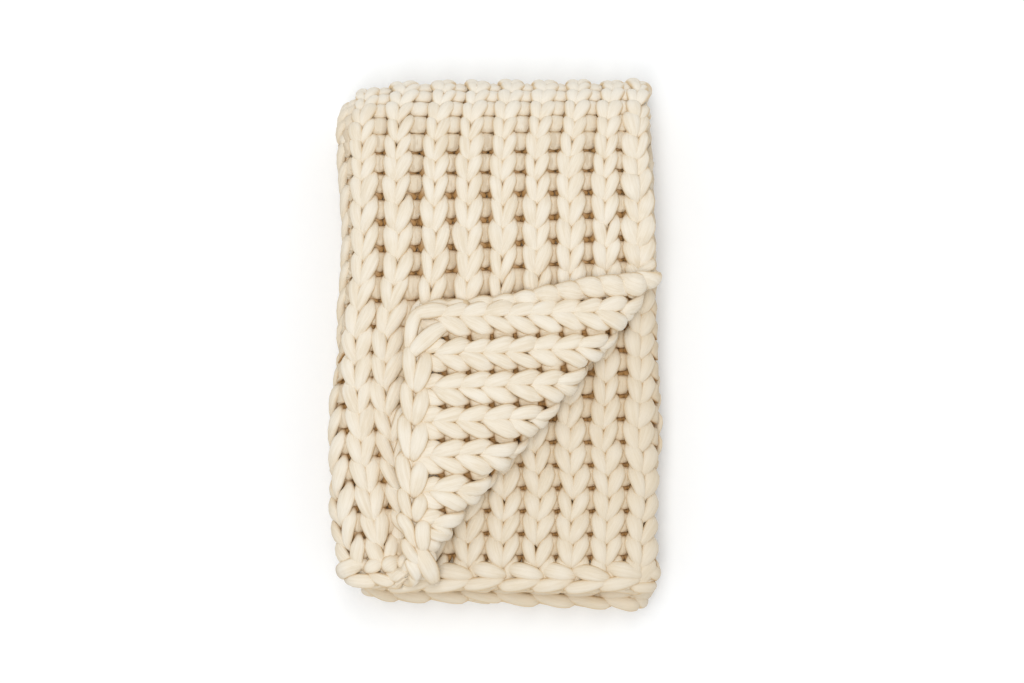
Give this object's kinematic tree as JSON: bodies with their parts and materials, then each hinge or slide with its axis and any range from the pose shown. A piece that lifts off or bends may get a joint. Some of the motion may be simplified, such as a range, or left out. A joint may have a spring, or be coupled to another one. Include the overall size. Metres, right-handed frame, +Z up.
{
  "type": "chunky knit blanket",
  "caption": "Thick ribbed knit throw, folded in thirds and then in half, with one corner of the top layer turned back.",
  "frame": {"origin": "middle of the folded stack's bounding box, at the surface it lies on", "axes": "+Z up, +X to the right along the folded width, +Y away along the folded length, towards the fold at the far end"},
  "size_m": [0.4236, 0.6958, 0.1863],
  "materials": {
    "wool": "matt, soft unspun cream wool roving"
  },
  "bodies": {
    "root": {"blanket": "wool"}
  },
  "joints": []
}
